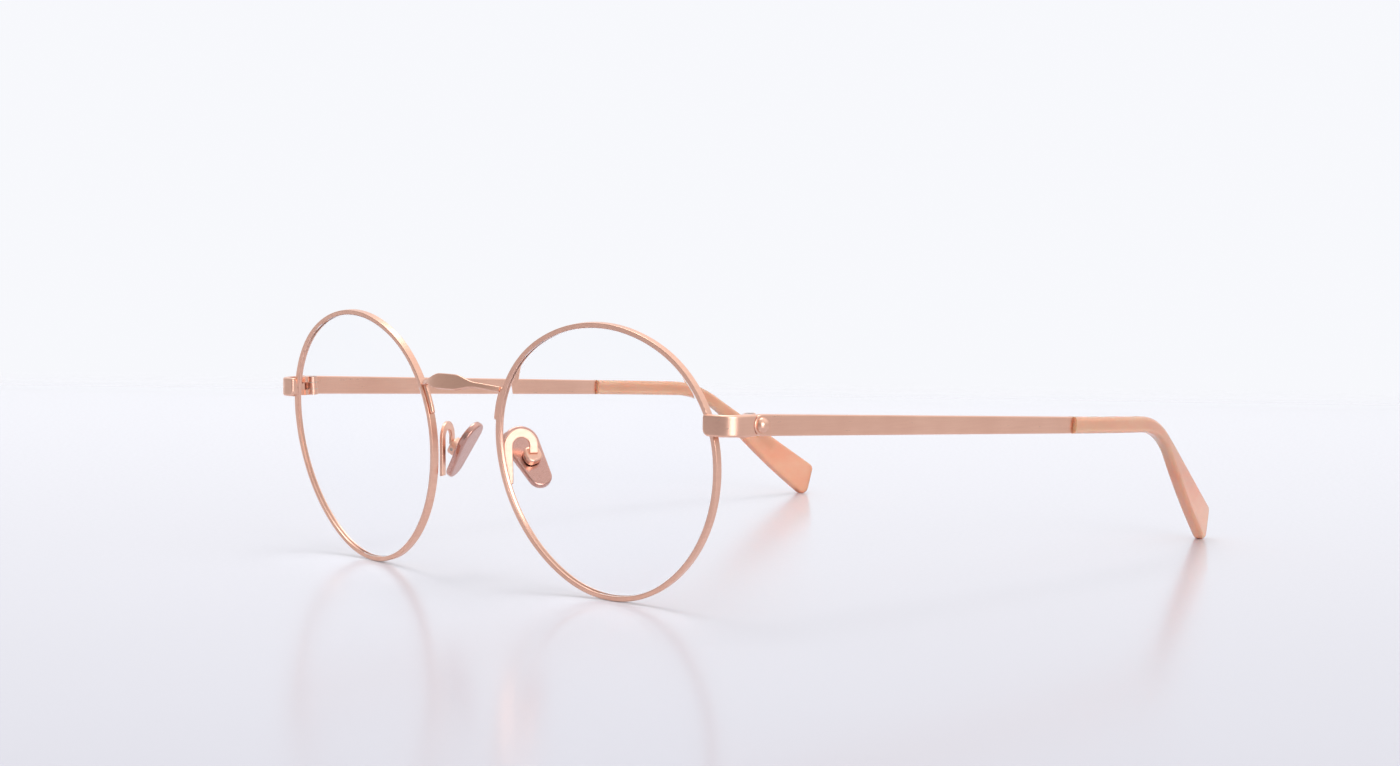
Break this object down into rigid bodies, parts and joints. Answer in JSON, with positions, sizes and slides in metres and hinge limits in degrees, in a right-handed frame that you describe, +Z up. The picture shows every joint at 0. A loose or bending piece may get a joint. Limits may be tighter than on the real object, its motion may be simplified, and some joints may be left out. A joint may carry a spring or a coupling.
{
  "type": "eyeglasses",
  "caption": "Round full-rim wire eyeglasses with a bowed leaf bridge, rocking metal nose pads on bent arms, hinged flat temples and moulded drop tips.",
  "frame": {"origin": "under the middle of the bounding box, on the surface that the open glasses lie on", "axes": "+X to the wearer's left, +Y back along the temples, +Z up; the glasses lie open on their rims and temple tips"},
  "size_m": [0.1292, 0.1618, 0.0468],
  "materials": {
    "frame_metal": "satin rose gold plating",
    "pad_metal": "polished rose gold plating",
    "screw_steel": "fine turned",
    "washer_nylon": "matte",
    "tip_acetate": "polished, translucent peach",
    "lens_clear": "polished, coated"
  },
  "bodies": {
    "front": {"bridge": "frame_metal", "rim_left": "frame_metal", "lens_left": "lens_clear", "endpiece_left": "frame_metal", "closing_block_upper_left": "frame_metal", "closing_block_lower_left": "frame_metal", "rim_screw_left": "screw_steel", "hinge_front_left": "frame_metal", "hinge_screw_left": "screw_steel", "hinge_washers_left": "washer_nylon", "pad_arm_left": "frame_metal", "pad_box_left": "frame_metal", "pad_pin_left": "screw_steel", "rim_right": "frame_metal", "lens_right": "lens_clear", "endpiece_right": "frame_metal", "closing_block_upper_right": "frame_metal", "closing_block_lower_right": "frame_metal", "rim_screw_right": "screw_steel", "hinge_front_right": "frame_metal", "hinge_screw_right": "screw_steel", "hinge_washers_right": "washer_nylon", "pad_arm_right": "frame_metal", "pad_box_right": "frame_metal", "pad_pin_right": "screw_steel"},
    "temple_left": {"temple_bar_left": "frame_metal", "hinge_temple_left": "frame_metal", "temple_rivet_left": "frame_metal", "temple_tip_left": "tip_acetate"},
    "pad_left": {"nose_pad_left": "pad_metal"},
    "temple_right": {"temple_bar_right": "frame_metal", "hinge_temple_right": "frame_metal", "temple_rivet_right": "frame_metal", "temple_tip_right": "tip_acetate"},
    "pad_right": {"nose_pad_right": "pad_metal"}
  },
  "joints": [
    {"name": "temple_left_fold", "type": "hinge", "parent": "front", "child": "temple_left", "pos_m": [0.05701, -0.0651, 0.03111], "axis": [0, -0.0593, 0.9982], "range_deg": [0, 90]},
    {"name": "temple_right_fold", "type": "hinge", "parent": "front", "child": "temple_right", "pos_m": [-0.05701, -0.0651, 0.03111], "axis": [0, 0.0593, -0.9982], "range_deg": [0, 86.5]},
    {"name": "pad_left_rock", "type": "hinge", "parent": "front", "child": "pad_left", "pos_m": [0.01021, -0.06903, 0.0228], "axis": [-0.2738, -0.9191, -0.2833], "range_deg": [-8, 8]},
    {"name": "pad_right_rock", "type": "hinge", "parent": "front", "child": "pad_right", "pos_m": [-0.01021, -0.06903, 0.0228], "axis": [-0.2738, 0.9191, 0.2833], "range_deg": [-8, 8]}
  ]
}
